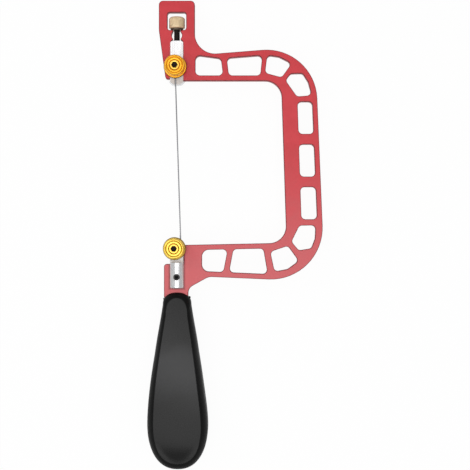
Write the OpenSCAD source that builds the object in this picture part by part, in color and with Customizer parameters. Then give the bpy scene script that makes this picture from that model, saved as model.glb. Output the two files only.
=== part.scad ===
// Fret saw with a truss plate frame, a sliding upper clamp drawn up by a nut, and a moulded handle.
// The parts are drawn standing: X runs from the blade to the spine, Y through the plate, Z from the butt of the
// handle to the head, and the front, with the clamp knobs, faces -Y. The finished saw is laid on its back.

/* [Frame plate] */
// Thickness of the plate
plate_t = 4.5; // [3.5:0.1:5.5]
// Clear height between the two arms, at the blade
throat_h = 105.3; // [90:0.1:130]
// Clear depth from the blade to the spine, at the upper arm
throat_d = 66.9; // [55:0.1:110]
// Width of the spine at the upper arm
spine_w = 22.6; // [20:0.1:30]
// Lean of the spine's inner edge, in degrees
spine_lean_in = 1.9; // [0:0.1:3]
// Lean of the spine's outer edge, in degrees
spine_lean_out = 2.4; // [0:0.1:3]
// Depth of the upper arm at the blade's line
upper_arm_h = 15.4; // [14:0.1:20]
// Rise of the upper arm's top edge, in degrees
upper_arm_rise = 4.55; // [0:0.05:6]
// Depth of the lower arm at the blade's line
lower_arm_h = 19.4; // [17:0.1:24]
// Rise of the lower arm's top edge, in degrees
lower_arm_rise = 1.2; // [0:0.1:3]
// Fall of the lower arm's bottom edge, in degrees
lower_arm_fall = 2.5; // [0:0.1:4]
// Outer corner radius, upper
corner_r_upper = 32.5; // [30:0.1:35]
// Outer corner radius, lower
corner_r_lower = 33.2; // [30:0.1:36]
// Radius of the throat's corners
throat_r = 10.8; // [6:0.1:14]
// Width of the head above the upper arm
head_w = 23; // [20:0.1:28]
// Solid bar over the nut window
head_bar = 7.4; // [5:0.1:12]
// Radius between the head and the upper arm
head_fillet = 13; // [8:0.5:16]
// Radius of the head's top corners
head_r = 2.6; // [1:0.1:4]

/* [Truss cells] */
// Rail left along each edge of an arm
arm_rail = 3.4; // [3:0.1:4.5]
// Rib between two cells of an arm
arm_rib = 3.8; // [3:0.1:6]
// Slant of the upper arm's ribs, from edge to edge
upper_rib_slant = 1.3; // [0:0.1:3]
// Slant of the lower arm's ribs, from edge to edge
lower_rib_slant = 2.8; // [0:0.1:4]
// Start of the upper arm's first cell, from the blade's line
upper_cell_x = 11.9; // [11:0.1:15]
// Length of the upper arm's first cell
upper_cell_l = 17; // [12:0.1:20]
// Rise of that cell's top, under the head's fillet
upper_cell_lift = 3.5; // [0:0.1:4]
// Start of the lower arm's first cell, from the blade's line
lower_cell_x = 16.1; // [14:0.1:19]
// Length of the lower arm's first cell
lower_cell_l = 15; // [12:0.1:18]
// Rail left inside the spine, by the throat
spine_rail_in = 10; // [6:0.1:11]
// Rail left along the spine's outer edge
spine_rail_out = 3.3; // [2.5:0.1:5]
// Rib between two cells of the spine
spine_rib = 6.7; // [4:0.1:9]
// Number of cells down the spine
spine_cells = 3; // [2:1:4]
// Solid spine above its first cell, under the upper arm's edge
spine_top_gap = 13.4; // [10:0.1:18]
// Solid spine below its last cell, over the lower arm's edge
spine_bottom_gap = 16.6; // [14:0.1:22]
// Rail left along the outer corners
corner_rail = 4; // [3.5:0.1:5]
// Inner radius of the upper corner's cells
corner_core_upper = 17.7; // [17:0.1:19]
// Inner radius of the lower corner's cells
corner_core_lower = 16; // [15.5:0.1:18]
// Distance from the last cell of each arm to the corner's centre
cell_end_gap = 3.4; // [3:0.1:5]
// Corner radius of every cell
cell_r = 2.6; // [1.5:0.1:2.6]

/* [Tension slide] */
// Diameter of the slide and of the lower post
bar_d = 10; // [9:0.1:12]
// Length of the slide
slide_l = 28.1; // [27:0.1:34]
// Width of the slot that the slide runs in
slot_w = 7; // [6:0.1:7.6]
// Depth of that slot, from the upper arm's edge
slot_l = 25.8; // [22:0.1:32]
// Distance from the bar's axis to the flat that takes the blade
flat_y = 3; // [2.8:0.1:3.6]
// Chamfer at the slide's blade end
slide_nose = 1.8; // [0.9:0.1:2]
// Chamfer at the other ends of the bars
bar_chamfer = 0.9; // [0.5:0.1:1.5]
// Height of the clamp axis over the slide's lower end
upper_axis_h = 11.2; // [10:0.1:13]
// Bridge of plate between the slot and the nut window
neck_h = 6.6; // [5:0.1:9]
// Width of the passage through the bridge
neck_w = 5; // [4.6:0.1:5.6]
// Diameter of the relief round the screw in that passage
neck_d = 6.6; // [6:0.1:7]
// Travel of the slide from its upper stop
slide_travel = 4.9; // [2:0.1:4.9]

/* [Tension nut and screw] */
// Diameter of the tension screw and of the clamp screws
screw_d = 4; // [3.5:0.1:4.2]
// Depth of the screw in the slide
screw_seat = 8; // [6:0.1:10]
// Screw left over the top of the nut
screw_tip = 0.6; // [0.3:0.1:1]
// Width of the nut window
window_w = 12; // [11.5:0.1:13]
// Height of the nut window
window_h = 11.4; // [11:0.1:13]
// Corner radius of the nut window
window_r = 1.6; // [1:0.1:2]
// Diameter of the knurled nut
nut_d = 9.6; // [8.5:0.1:11]
// Height of the nut
nut_h = 7.2; // [6.4:0.1:7.8]
// Number of flutes in the nut's knurl
nut_flutes = 36; // [24:1:40]
// Diameter of the washer under the nut
sill_washer_d = 8; // [7:0.1:9]
// Thickness of that washer
sill_washer_t = 1.2; // [0.8:0.1:1.4]

/* [Blade clamps] */
// Offset of the upper clamp's screw from the slide's axis
upper_clamp_x = -0.9; // [-1.5:0.1:0]
// Offset of the lower clamp's screw from the post's axis
lower_clamp_x = -1.4; // [-1.5:0.1:-0.8]
// Diameter of the clamp washer
washer_d = 14.6; // [12:0.1:15]
// Thickness of the clamp washer
washer_t = 2; // [1.2:0.1:2.4]
// Diameter of the knob's head
knob_d = 13.2; // [11:0.1:14]
// Height of the knob's head
knob_h = 5.6; // [4.6:0.1:6]
// Diameter of the knob's collar
collar_d = 9; // [8:0.1:10]
// Height of the collar, the gap between knob and washer
collar_h = 0.8; // [0.5:0.1:1]
// Number of flutes round the knob
knob_flutes = 30; // [20:1:36]
// Diameter of the clamp screw's head
socket_head_d = 6.2; // [6:0.1:6.6]
// Height of the clamp screw's head
socket_head_h = 4; // [3.4:0.1:4.2]
// Hexagon socket, across flats
hex_af = 3; // [2.5:0.1:3.2]
// Depth of the hexagon socket
hex_depth = 2.4; // [1.5:0.1:2.8]

/* [Lower post] */
// Height of the post's seat over the shoulder of the tang
seat_h = 21.4; // [18:0.1:26]
// Height of the lower arm's top edge over that seat
seat_drop = 12.1; // [10:0.1:14]
// Length of the fork, down over the plate
fork_l = 15.5; // [12:0.1:17]
// Height of the lower clamp axis over the seat
lower_axis_h = 9.9; // [9.4:0.1:12]
// Post left over the lower clamp axis
post_over = 6; // [5:0.1:7]
// Start of the post's flat, over the seat
post_flat_h = 1; // [0.6:0.1:1.6]
// Height of the lock screw over the fork's lower end
lock_h = 7.2; // [5:0.1:9]

/* [Blade] */
// Width of the blade over its teeth
blade_w = 0.9; // [0.7:0.05:1]
// Thickness of the blade
blade_t = 0.45; // [0.3:0.05:0.6]
// Pitch of the teeth
tooth_pitch = 1.2; // [1:0.1:2]
// Depth of the teeth
tooth_depth = 0.3; // [0.2:0.05:0.35]
// Offset of the blade from the slide's axis, at the upper clamp
blade_x_upper = -1.1; // [-1.5:0.05:0]
// Offset of the blade from the post's axis, at the lower clamp
blade_x_lower = 2.65; // [2.4:0.05:3]
// Gap between the blade's upper end and the clamp screw
blade_gap = 0.6; // [0.4:0.1:1]

/* [Handle] */
// Length of the handle up to the plate's shoulder
handle_l = 110; // [95:0.5:130]
// Greatest width
handle_w = 39.1; // [36:0.1:46]
// Greatest thickness
handle_t = 26; // [25.6:0.1:30]
// Height of the greatest width
handle_wide_z = 29.2; // [24:0.1:34]
// Height of the greatest thickness
handle_fat_z = 42; // [34:0.5:50]
// Width at the neck
neck_width = 17.5; // [16.8:0.1:20]
// Thickness at the neck
neck_thick = 15; // [13:0.1:18]
// Rise of the domed end over the shoulder
dome_h = 3.3; // [2:0.1:4]
// Start of the domed end below the shoulder
dome_drop = 4.4; // [3:0.1:6]
// Width of the border round the panels, at the butt and where the handle is widest
border_w = 3.7; // [2.5:0.1:5]
// Width of that border at the neck and at the dome
border_neck = 3; // [2.5:0.1:4]
// Lean of the border where it leaves the panel, in degrees
border_lean = 32; // [25:1:40]
// Crown of the panels
panel_crown = 0.7; // [0.3:0.1:1.2]
// Reach of the plate's shank to the left, where it meets the handle
shank_left = 8.2; // [7:0.1:8.4]
// Reach of the plate's shank to the right
shank_right = 7.3; // [7:0.1:8.4]
// Width of the tang inside the handle
tang_w = 11; // [9:0.1:12]
// Depth of the tang inside the handle
tang_l = 68; // [50:0.5:72]
// Diameter of the anchor holes through the tang
anchor_d = 5; // [3:0.1:6]

/* [Hidden] */
$fn = 64;

red_anodised = [0.78, 0.27, 0.29];
gold_anodised = [0.93, 0.73, 0.25];
bare_aluminium = [0.8, 0.8, 0.8];
brass = [0.8, 0.68, 0.48];
black_steel = [0.12, 0.11, 0.11];
washer_steel = [0.55, 0.54, 0.52];
blade_steel = [0.5, 0.5, 0.5];
black_plastic = [0.13, 0.13, 0.13];

// Running clearance of a slide, on each side
run_gap = 0.05;
// Clearance of a screw in its hole, on the radius
thread_gap = 0.03;
// Clearance of a washer round its screw, on the radius
bore_gap = 0.1;
// Clearance between a plate edge and a round bar beside it
side_gap = 0.3;
// Clearance of the slide's top under the rounded end of its slot
stop_gap = 0.35;
// Least overlap of a cutting tool past a face
over = 1;
// Degrees of arc to one facet of an outline, on a small radius and on a large one
small_r = 4;
small_arc_step = 15;
large_arc_step = 6;

// Heights of the edges and seats along the saw
seat_z = handle_l + seat_h;
lower_z = seat_z + seat_drop;
upper_z = lower_z + throat_h;
slot_z = upper_z + slot_l;
sill_z = slot_z + neck_h;
window_z = sill_z + window_h;
head_z = window_z + head_bar;
lower_axis_z = seat_z + lower_axis_h;
slide_z = slot_z - stop_gap - slide_l;
upper_axis_z = slide_z + upper_axis_h;
nut_z = sill_z + sill_washer_t;
screw_z = slide_z + slide_l - screw_seat;
screw_l = nut_z + nut_h + screw_tip - screw_z;
post_z = seat_z - fork_l;
post_l = lower_axis_z + post_over - post_z;

// Depths of the clamp parts in front of the plate's middle
blade_y = -flat_y;
washer_y = blade_y - blade_t;
knob_y = washer_y - washer_t;
socket_y = knob_y - collar_h - knob_h;

// Straight edges of the plate, as heights over x or as depths over z
function upper_top(x) = upper_z + upper_arm_h + x * tan(upper_arm_rise);
function lower_top(x) = lower_z + x * tan(lower_arm_rise);
function lower_bottom(x) = lower_z - lower_arm_h - x * tan(lower_arm_fall);
function spine_in(z) = throat_d + (upper_z - z) * tan(spine_lean_in);
function spine_out(z) = throat_d + spine_w + (upper_z - z) * tan(spine_lean_out);

// Where an arm's edge, of height h over the blade's line and slope s, meets an edge of the spine
function spine_meet(h, s, x0, lean) =
    let (x = (x0 + (upper_z - h) * tan(lean)) / (1 + tan(s) * tan(lean)))
    [x, h + x * tan(s)];

upper_corner = spine_meet(upper_top(0), upper_arm_rise, throat_d + spine_w, spine_lean_out);
lower_corner = spine_meet(lower_bottom(0), -lower_arm_fall, throat_d + spine_w, spine_lean_out);
upper_throat = spine_meet(upper_z, 0, throat_d, spine_lean_in);
lower_throat = spine_meet(lower_top(0), lower_arm_rise, throat_d, spine_lean_in);

// Outlines with rounded corners: each corner is [x, z, radius]
function unit(v) = v / norm(v);
function flat(p) = [p[0], p[1]];
function corner_half(a, b, c) = acos(unit(a - b) * unit(c - b)) / 2;
function corner_centre(a, b, c, r) =
    b + unit(unit(a - b) + unit(c - b)) * r / sin(corner_half(a, b, c));
function turn(from, to) = let (d = to - from) d > 180 ? d - 360 : d < -180 ? d + 360 : d;
function corner_arc(a, b, c, r) =
    let (
        reach = r / tan(corner_half(a, b, c)),
        centre = corner_centre(a, b, c, r),
        start = b + unit(a - b) * reach - centre,
        stop = b + unit(c - b) * reach - centre,
        from = atan2(start[1], start[0]),
        sweep = turn(from, atan2(stop[1], stop[0])),
        steps = max(2, ceil(abs(sweep) / (r < small_r ? small_arc_step : large_arc_step)))
    )
    [for (i = [0:steps]) centre + r * [cos(from + sweep * i / steps), sin(from + sweep * i / steps)]];
function rounded(corners) =
    let (n = len(corners))
    [for (i = [0:n - 1]) each corner_arc(
        flat(corners[(i + n - 1) % n]), flat(corners[i]), flat(corners[(i + 1) % n]), corners[i][2])];

// Centres of the two outer corners, and the saw's middle across X
belly_reach = 13.1;
head_foot = [head_w / 2, upper_top(head_w / 2)];
belly_corner = [shank_right + belly_reach, lower_bottom(shank_right + belly_reach)];
upper_centre = corner_centre(head_foot, upper_corner, lower_corner, corner_r_upper);
lower_centre = corner_centre(upper_corner, lower_corner, belly_corner, corner_r_lower);
right_x = max(upper_centre[0] + corner_r_upper, lower_centre[0] + corner_r_lower);
middle_x = (right_x - handle_w / 2) / 2;

// Outline of the plate, clockwise from the head
prong_w = 3.7;
prong_r = 1.6;
slot_mouth_r = 0.6;
slot_end_r = 0.3;
shoulder_r = 0.4;
tang_end_r = 2.5;
belly_r = 8;
shank_r = 5.5;
shank_rise = 5.9;
seat_r = 1.7;
waist_r = 14;
prong_lift = 1.1;
prong_tip_z = upper_z + prong_lift;
plate_outline = [
    [-head_w / 2, head_z, head_r],
    [head_w / 2, head_z, head_r],
    [head_foot[0], head_foot[1], head_fillet],
    [upper_corner[0], upper_corner[1], corner_r_upper],
    [lower_corner[0], lower_corner[1], corner_r_lower],
    [belly_corner[0], belly_corner[1], belly_r],
    [shank_right, handle_l + shank_rise, shank_r],
    [shank_right, handle_l, shoulder_r],
    [tang_w / 2, handle_l, shoulder_r],
    [tang_w / 2, handle_l - tang_l, tang_end_r],
    [-tang_w / 2, handle_l - tang_l, tang_end_r],
    [-tang_w / 2, handle_l, shoulder_r],
    [-shank_left, handle_l, shoulder_r],
    [-shank_left, seat_z, seat_r],
    [bar_d / 2 + side_gap, seat_z, slot_end_r],
    [bar_d / 2 + side_gap, lower_top(bar_d / 2), slot_mouth_r],
    [lower_throat[0], lower_throat[1], throat_r],
    [upper_throat[0], upper_throat[1], throat_r],
    [slot_w / 2, upper_z, slot_mouth_r],
    [slot_w / 2, slot_z, slot_end_r],
    [-slot_w / 2, slot_z, slot_end_r],
    [-slot_w / 2, prong_tip_z, prong_r],
    [-slot_w / 2 - prong_w, prong_tip_z, prong_r],
    [-head_w / 2, sill_z, waist_r]
];

// Draws a shape of the X-Z plane, with its thickness along Y
module upright(thickness) {
    rotate([90, 0, 0])
        linear_extrude(height = thickness, center = true)
            children();
}

// A solid turned about a Y axis: its profile runs outwards along -Y from depth y
module turned(x, y, z) {
    translate([x, y, z])
        rotate([90, 0, 0])
            children();
}

// Corner radii at the blade's end of each arm's first cell
upper_end_r = 3;
lower_end_r = 4.5;

// One cell of an arm, between the heights of its corners
module arm_cell(top_left, top_right, bottom_right, bottom_left, left_r) {
    polygon(rounded([
        [top_left[0], top_left[1], left_r],
        [top_right[0], top_right[1], cell_r],
        [bottom_right[0], bottom_right[1], cell_r],
        [bottom_left[0], bottom_left[1], left_r]
    ]));
}

// One cell of an outer corner. Each of its own corners is a share of the way from the core's radius to the
// rail's, and an angle about the outer corner's centre.
module corner_cell(centre, core_r, rail_r, corners) {
    polygon(rounded([
        for (c = corners)
            let (r = core_r + (rail_r - core_r) * c[0])
            [centre[0] + r * cos(c[1]), centre[1] + r * sin(c[1]), cell_r]
    ]));
}

// Cells of the upper arm: the first under the head, the second up to the corner
module upper_cells() {
    rib_x = upper_cell_x + upper_cell_l;
    end_x = upper_centre[0] - cell_end_gap;
    half = upper_rib_slant / 2;
    low = upper_z + arm_rail;
    function high(x) = [x, upper_top(x) - arm_rail];
    arm_cell(
        high(upper_cell_x) + [0, upper_cell_lift], high(rib_x - half),
        [rib_x + half, low], [upper_cell_x, low], upper_end_r);
    arm_cell(
        high(rib_x + arm_rib - half), high(end_x + half),
        [end_x - half, low], [rib_x + arm_rib + half, low], cell_r);
}

// Cells of the lower arm: the first beside the post, the second up to the corner
module lower_cells() {
    rib_x = lower_cell_x + lower_cell_l;
    end_x = lower_centre[0] - cell_end_gap;
    half = lower_rib_slant / 2;
    function high(x) = [x, lower_top(x) - arm_rail];
    function low(x) = [x, lower_bottom(x) + arm_rail];
    arm_cell(
        high(lower_cell_x), high(rib_x + half),
        low(rib_x - half), low(lower_cell_x), lower_end_r);
    arm_cell(
        high(rib_x + arm_rib + half), high(end_x - half),
        low(end_x + half), low(rib_x + arm_rib - half), cell_r);
}

// The row of cells down the spine
module spine_row() {
    top = upper_z - spine_top_gap;
    bottom = lower_z + spine_bottom_gap;
    cell_h = (top - bottom - spine_rib * (spine_cells - 1)) / spine_cells;
    function left(z) = [spine_in(z) + spine_rail_in, z, cell_r];
    function right(z) = [spine_out(z) - spine_rail_out, z, cell_r];
    for (i = [0:spine_cells - 1]) {
        high = top - i * (cell_h + spine_rib);
        low = high - cell_h;
        polygon(rounded([left(high), right(high), right(low), left(low)]));
    }
}

// Corner cells of the spine and of the arm, at the upper and at the lower corner
upper_spine_cell = [[0.18, 7.5], [1.06, 6.5], [1.06, 24], [1.04, 37], [0.5, 48], [0, 46.5]];
upper_arm_cell = [[0, 57], [1.03, 56], [1.05, 74], [1.05, 89], [0, 93]];
lower_spine_cell = [[0.18, 4], [0.97, 3], [1, -14], [1, -27], [0.54, -39], [0, -34]];
lower_arm_cell = [[0, -47], [0.9, -50], [0.96, -68], [0.93, -85], [-0.04, -91]];

// All the cells of the truss
module truss_cells() {
    upper_rail_r = corner_r_upper - corner_rail;
    lower_rail_r = corner_r_lower - corner_rail;
    upper_cells();
    lower_cells();
    spine_row();
    corner_cell(upper_centre, corner_core_upper, upper_rail_r, upper_spine_cell);
    corner_cell(upper_centre, corner_core_upper, upper_rail_r, upper_arm_cell);
    corner_cell(lower_centre, corner_core_lower, lower_rail_r, lower_spine_cell);
    corner_cell(lower_centre, corner_core_lower, lower_rail_r, lower_arm_cell);
}

// The nut window, and the passage from it down to the slot
module nut_window() {
    polygon(rounded([
        [-window_w / 2, sill_z, window_r],
        [window_w / 2, sill_z, window_r],
        [window_w / 2, window_z, window_r],
        [-window_w / 2, window_z, window_r]
    ]));
}

module neck_passage() {
    translate([-neck_w / 2, slot_z - over])
        square([neck_w, neck_h + 2 * over]);
}

// Holes through the tang that the handle is cast through
module anchor_holes() {
    anchors = 3;
    spacing = tang_l / (anchors + 1);
    for (i = [1:anchors])
        translate([0, plate_t / 2 + over, handle_l - i * spacing])
            rotate([90, 0, 0])
                cylinder(h = plate_t + 2 * over, d = anchor_d);
}

// The plate as cut, with its tang and anchor holes
module plate_blank() {
    difference() {
        upright(plate_t) polygon(rounded(plate_outline));
        anchor_holes();
    }
}

module frame_plate() {
    color(red_anodised)
        difference() {
            plate_blank();
            upright(plate_t + 2 * over) truss_cells();
            upright(plate_t + 2 * over) nut_window();
            upright(plate_t + 2 * over) neck_passage();
            translate([0, plate_t / 2 + over, slot_z + neck_h / 2])
                rotate([90, 0, 0])
                    cylinder(h = plate_t + 2 * over, d = neck_d);
        }
}

// Half width and half thickness of the handle at height z, each full at its own height
neck_flare = 1;
neck_z = handle_l - dome_drop;
dome_z = handle_l + dome_h;
function ease(u, slope) = 2 * pow(u, 3) - 3 * pow(u, 2) + 1 - slope * (pow(u, 3) - pow(u, 2));
function swell(z, full_z, full, end) =
    z < full_z
        ? full * sqrt(1 - pow((full_z - z) / full_z, 2))
        : end + (full - end) * ease(min(1, (z - full_z) / (neck_z - full_z)), neck_flare);
function handle_half_w(z) = swell(z, handle_wide_z, handle_w / 2, neck_width / 2);
function handle_half_t(z) = swell(z, handle_fat_z, handle_t / 2, neck_thick / 2);

// Right half of the handle's outline and of its panel's edge, from the butt to the dome, in as many steps.
// Both end in a quarter of an ellipse at the butt and of a squarer curve at the dome.
butt_steps = 10;
side_steps = 12;
dome_steps = 8;
dome_power = 2.3;
arch = 7;
panel_w = handle_w / 2 - border_w;
arch_z = neck_z - arch;
arch_w = handle_half_w(arch_z) - border_neck;
function squared(share) = pow(share, 2 / dome_power);
function half_line(butt_w, butt_z, side, end_w, end_z, top_z) = [
    for (i = [0:butt_steps])
        let (a = 90 * i / butt_steps)
        [butt_w * sin(a), handle_wide_z - (handle_wide_z - butt_z) * cos(a)],
    for (i = [1:side_steps - 1]) side[i],
    for (i = [0:dome_steps])
        let (a = 90 * i / dome_steps)
        [end_w * squared(cos(a)), end_z + (top_z - end_z) * squared(sin(a))]
];
function side_line(top_z, border, end_border) = [
    for (i = [0:side_steps])
        let (u = i / side_steps, z = handle_wide_z + (top_z - handle_wide_z) * u)
        [handle_half_w(z) - border - (end_border - border) * u, z]
];
handle_line = half_line(handle_w / 2, 0, side_line(neck_z, 0, 0), neck_width / 2, neck_z, dome_z);
panel_line = half_line(
    panel_w, border_w, side_line(arch_z, border_w, border_neck), arch_w, arch_z, dome_z - border_neck);
function both_sides(half) = [
    for (p = half) p,
    for (i = [len(half) - 2:-1:1]) [-half[i][0], half[i][1]]
];
handle_loop = both_sides(handle_line);
panel_loop = both_sides(panel_line);

// Rings of the skin round the handle's face, from the panel's middle line out over the border to the middle
// plane. The border leaves the panel at its lean, bends to upright, and drops to the middle plane as a wall.
panel_shares = [0.2, 0.6, 1];
border_steps = 5;
border_drop = 0.8;
function panel_t(p) = handle_half_t(p[1]) - panel_crown * pow(p[0] / panel_w, 2);
function panel_ring(share) = [
    for (p = panel_loop)
        let (
            middle = [0, max(handle_wide_z, min(arch_z, p[1]))],
            q = middle + (p - middle) * share
        )
        [q[0], panel_t(q), q[1]]
];
function border_ring(angle) = [
    for (i = [0:len(panel_loop) - 1])
        let (
            p = panel_loop[i],
            out = handle_loop[i] - p,
            spread = 1 - sin(border_lean),
            fall = min(norm(out) * cos(border_lean) / spread, panel_t(p) * border_drop),
            q = p + out * (sin(angle) - sin(border_lean)) / spread
        )
        [q[0], panel_t(p) - fall * (1 - cos(angle) / cos(border_lean)), q[1]]
];
face_rings = [
    for (share = panel_shares) panel_ring(share),
    for (i = [1:border_steps]) border_ring(border_lean + (90 - border_lean) * i / border_steps)
];
handle_rings = [
    for (ring = face_rings) [for (p = ring) [p[0], -p[1], p[2]]],
    [for (p = handle_loop) [p[0], 0, p[1]]],
    for (i = [len(face_rings) - 1:-1:0]) face_rings[i]
];

// The handle's closed skin: rings joined by triangles, and a strip across the middle of each panel
module handle_body() {
    rings = len(handle_rings);
    around = len(handle_loop);
    half = len(handle_line) - 1;
    function at(ring, i) = ring * around + i % around;
    function strip(ring, i) = [
        [at(ring, around - i), at(ring, around - i - 1), at(ring, i + 1)],
        [at(ring, around - i), at(ring, i + 1), at(ring, i)]
    ];
    function turned_round(faces) = [for (f = faces) [f[2], f[1], f[0]]];
    function proper(faces) = [for (f = faces) if (f[0] != f[1] && f[1] != f[2] && f[0] != f[2]) f];
    faces = [
        for (r = [0:rings - 2], i = [0:around - 1]) each [
            [at(r, i), at(r, i + 1), at(r + 1, i + 1)],
            [at(r, i), at(r + 1, i + 1), at(r + 1, i)]
        ],
        for (i = [0:half - 1]) each proper(strip(0, i)),
        for (i = [0:half - 1]) each proper(turned_round(strip(rings - 1, i)))
    ];
    polyhedron([for (ring = handle_rings) each ring], faces);
}

module handle() {
    color(black_plastic)
        difference() {
            handle_body();
            plate_blank();
        }
}

// A round bar along Z with a chamfer at each end
module round_bar(length, lower_chamfer, upper_chamfer) {
    rotate_extrude()
        polygon([
            [0, 0],
            [bar_d / 2 - lower_chamfer, 0],
            [bar_d / 2, lower_chamfer],
            [bar_d / 2, length - upper_chamfer],
            [bar_d / 2 - upper_chamfer, length],
            [0, length]
        ]);
}

// The space in front of a bar's flat, from height z upwards
module flat_cut(z, length) {
    translate([-bar_d, -bar_d - flat_y, z])
        cube([2 * bar_d, bar_d, length]);
}

// A hole through a bar for a clamp screw
module screw_hole(x, z) {
    turned(x, bar_d, z)
        cylinder(h = 2 * bar_d, d = screw_d + 2 * thread_gap);
}

// The slide: grooves beside its web take the plate, and its full round end stands below the plate's edge
module tension_slide() {
    groove_t = plate_t + 2 * run_gap;
    web_w = slot_w - 2 * run_gap;
    color(bare_aluminium)
        difference() {
            translate([0, 0, slide_z]) round_bar(slide_l, slide_nose, bar_chamfer);
            flat_cut(slide_z - over, slide_l + 2 * over);
            for (side = [-1, 1])
                translate([side * (web_w / 2 + bar_d / 2), 0, upper_z - side_gap + slide_l / 2])
                    cube([bar_d, groove_t, slide_l], center = true);
            translate([0, 0, screw_z])
                cylinder(h = screw_seat + over, d = screw_d + 2 * thread_gap);
            screw_hole(upper_clamp_x, upper_axis_z);
        }
}

module tension_screw() {
    tip = screw_d / 8;
    color(black_steel)
        translate([0, 0, screw_z])
            rotate_extrude()
                polygon([
                    [0, 0],
                    [screw_d / 2 - tip, 0],
                    [screw_d / 2, tip],
                    [screw_d / 2, screw_l - tip],
                    [screw_d / 2 - tip, screw_l],
                    [0, screw_l]
                ]);
}

module tension_nut() {
    bevel = 0.9;
    flute_r = 0.3;
    color(brass)
        translate([0, 0, nut_z])
            difference() {
                rotate_extrude()
                    polygon([
                        [screw_d / 2 + thread_gap, 0],
                        [nut_d / 2 - bevel / 2, 0],
                        [nut_d / 2, bevel / 2],
                        [nut_d / 2, nut_h - bevel],
                        [nut_d / 2 - bevel, nut_h],
                        [screw_d / 2 + thread_gap, nut_h]
                    ]);
                for (i = [0:nut_flutes - 1])
                    rotate(360 / nut_flutes * i)
                        translate([nut_d / 2 + flute_r / 2, 0, -over])
                            cylinder(h = nut_h + 2 * over, r = flute_r, $fn = 16);
            }
}

module tension_washer() {
    color(washer_steel)
        translate([0, 0, sill_z])
            difference() {
                cylinder(h = sill_washer_t, d = sill_washer_d);
                translate([0, 0, -over])
                    cylinder(h = sill_washer_t + 2 * over, d = screw_d + 2 * bore_gap);
            }
}

module lower_clamp_post() {
    color(bare_aluminium)
        difference() {
            translate([0, 0, post_z]) round_bar(post_l, bar_chamfer / 2, bar_chamfer);
            translate([-bar_d, -plate_t / 2 - run_gap, post_z - over])
                cube([2 * bar_d, plate_t + 2 * run_gap, fork_l + over]);
            flat_cut(seat_z + post_flat_h, post_l);
            screw_hole(lower_clamp_x, lower_axis_z);
            turned(0, -plate_t / 2, post_z + lock_h)
                cylinder(h = bar_d, d = screw_d + 2 * thread_gap);
        }
}

// A short screw flush with the post, with a small hexagon socket
module lower_lock_screw() {
    sunk = 0.2;
    reach = bar_d / 2 - plate_t / 2 - sunk;
    socket = 1.2;
    color(black_steel)
        turned(0, -plate_t / 2, post_z + lock_h)
            difference() {
                cylinder(h = reach, d = screw_d);
                translate([0, 0, reach - socket])
                    cylinder(h = socket + over, d = screw_d / 2 / cos(30), $fn = 6);
            }
}

module clamp_washer(x, z) {
    rim = 0.4;
    bore = screw_d / 2 + bore_gap;
    color(gold_anodised)
        turned(x, washer_y, z)
            rotate_extrude()
                polygon([
                    [bore, 0],
                    [washer_d / 2 - rim, 0],
                    [washer_d / 2, rim],
                    [washer_d / 2, washer_t - rim],
                    [washer_d / 2 - rim, washer_t],
                    [bore, washer_t]
                ]);
}

// The knob: a collar on the washer, a fluted head and rings turned in its face
module clamp_knob(x, z) {
    top = collar_h + knob_h;
    rim = 0.7;
    ring_cut = 0.8;
    rim_w = 1.5;
    groove_w = 0.5;
    head_seat = top - socket_head_h;
    bore = screw_d / 2 + thread_gap;
    head_bore = socket_head_d / 2 + thread_gap;
    ring_r = knob_d / 2 - rim_w;
    flute_r = 0.45;
    color(gold_anodised)
        turned(x, knob_y, z)
            difference() {
                rotate_extrude()
                    polygon([
                        [bore, 0],
                        [collar_d / 2, 0],
                        [collar_d / 2, collar_h],
                        [knob_d / 2 - rim, collar_h],
                        [knob_d / 2, collar_h + rim],
                        [knob_d / 2, top - rim],
                        [knob_d / 2 - rim, top],
                        [ring_r, top],
                        [ring_r - groove_w / 2, top - ring_cut],
                        [ring_r - groove_w, top],
                        [head_bore + groove_w, top],
                        [head_bore, top - ring_cut],
                        [head_bore, head_seat],
                        [bore, head_seat]
                    ]);
                for (i = [0:knob_flutes - 1])
                    rotate(360 / knob_flutes * i)
                        translate([knob_d / 2 + flute_r / 2, 0, collar_h - over])
                            cylinder(h = knob_h + 2 * over, r = flute_r, $fn = 16);
            }
}

// The clamp screw: a socket head in the knob and a shank through the washer into the bar
module clamp_screw(x, z) {
    sunk = 0.6;
    shank_end = bar_d / 2 - sunk;
    shank_l = -socket_y - socket_head_h + shank_end;
    brim = 0.3;
    color(gold_anodised)
        turned(x, shank_end, z)
            difference() {
                rotate_extrude()
                    polygon([
                        [0, 0],
                        [screw_d / 2 - brim, 0],
                        [screw_d / 2, brim],
                        [screw_d / 2, shank_l],
                        [socket_head_d / 2, shank_l],
                        [socket_head_d / 2, shank_l + socket_head_h - brim],
                        [socket_head_d / 2 - brim, shank_l + socket_head_h],
                        [0, shank_l + socket_head_h]
                    ]);
                translate([0, 0, shank_l + socket_head_h - hex_depth])
                    cylinder(h = hex_depth + over, d = hex_af / cos(30), $fn = 6);
            }
}

module upper_clamp_washer() {
    clamp_washer(upper_clamp_x, upper_axis_z);
}

module upper_clamp_knob() {
    clamp_knob(upper_clamp_x, upper_axis_z);
}

module upper_clamp_screw() {
    clamp_screw(upper_clamp_x, upper_axis_z);
}

module lower_clamp_washer() {
    clamp_washer(lower_clamp_x, lower_axis_z);
}

module lower_clamp_knob() {
    clamp_knob(lower_clamp_x, lower_axis_z);
}

module lower_clamp_screw() {
    clamp_screw(lower_clamp_x, lower_axis_z);
}

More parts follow.
